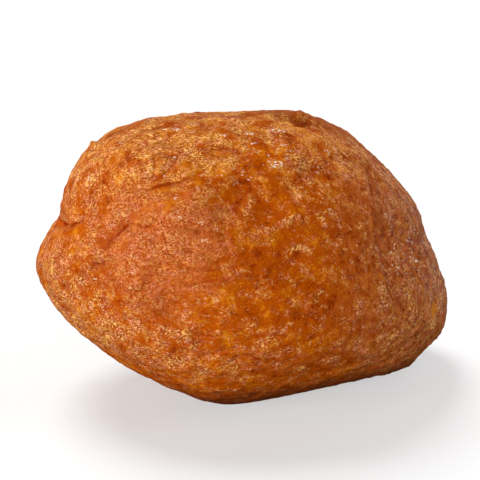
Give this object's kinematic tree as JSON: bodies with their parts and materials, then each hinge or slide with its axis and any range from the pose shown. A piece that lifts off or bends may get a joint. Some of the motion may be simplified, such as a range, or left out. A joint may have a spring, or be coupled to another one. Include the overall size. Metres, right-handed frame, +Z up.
{
  "type": "oliebol",
  "caption": "Plain oliebol: an uneven ball of deep-fried yeast dough with a browned, creased crust, a short blunt tail and a flat spot to rest on.",
  "frame": {"origin": "middle of the ball's box in plan, at the table it rests on", "axes": "+X along the ball from its tail to its heel, +Y back from its browned face, +Z up from the table"},
  "size_m": [0.0948, 0.0776, 0.0667],
  "materials": {
    "crust": "deep-fried amber crust, satin and oily, with pale lacy flecks and redder creases"
  },
  "bodies": {
    "root": {"oliebol": "crust"}
  },
  "joints": []
}
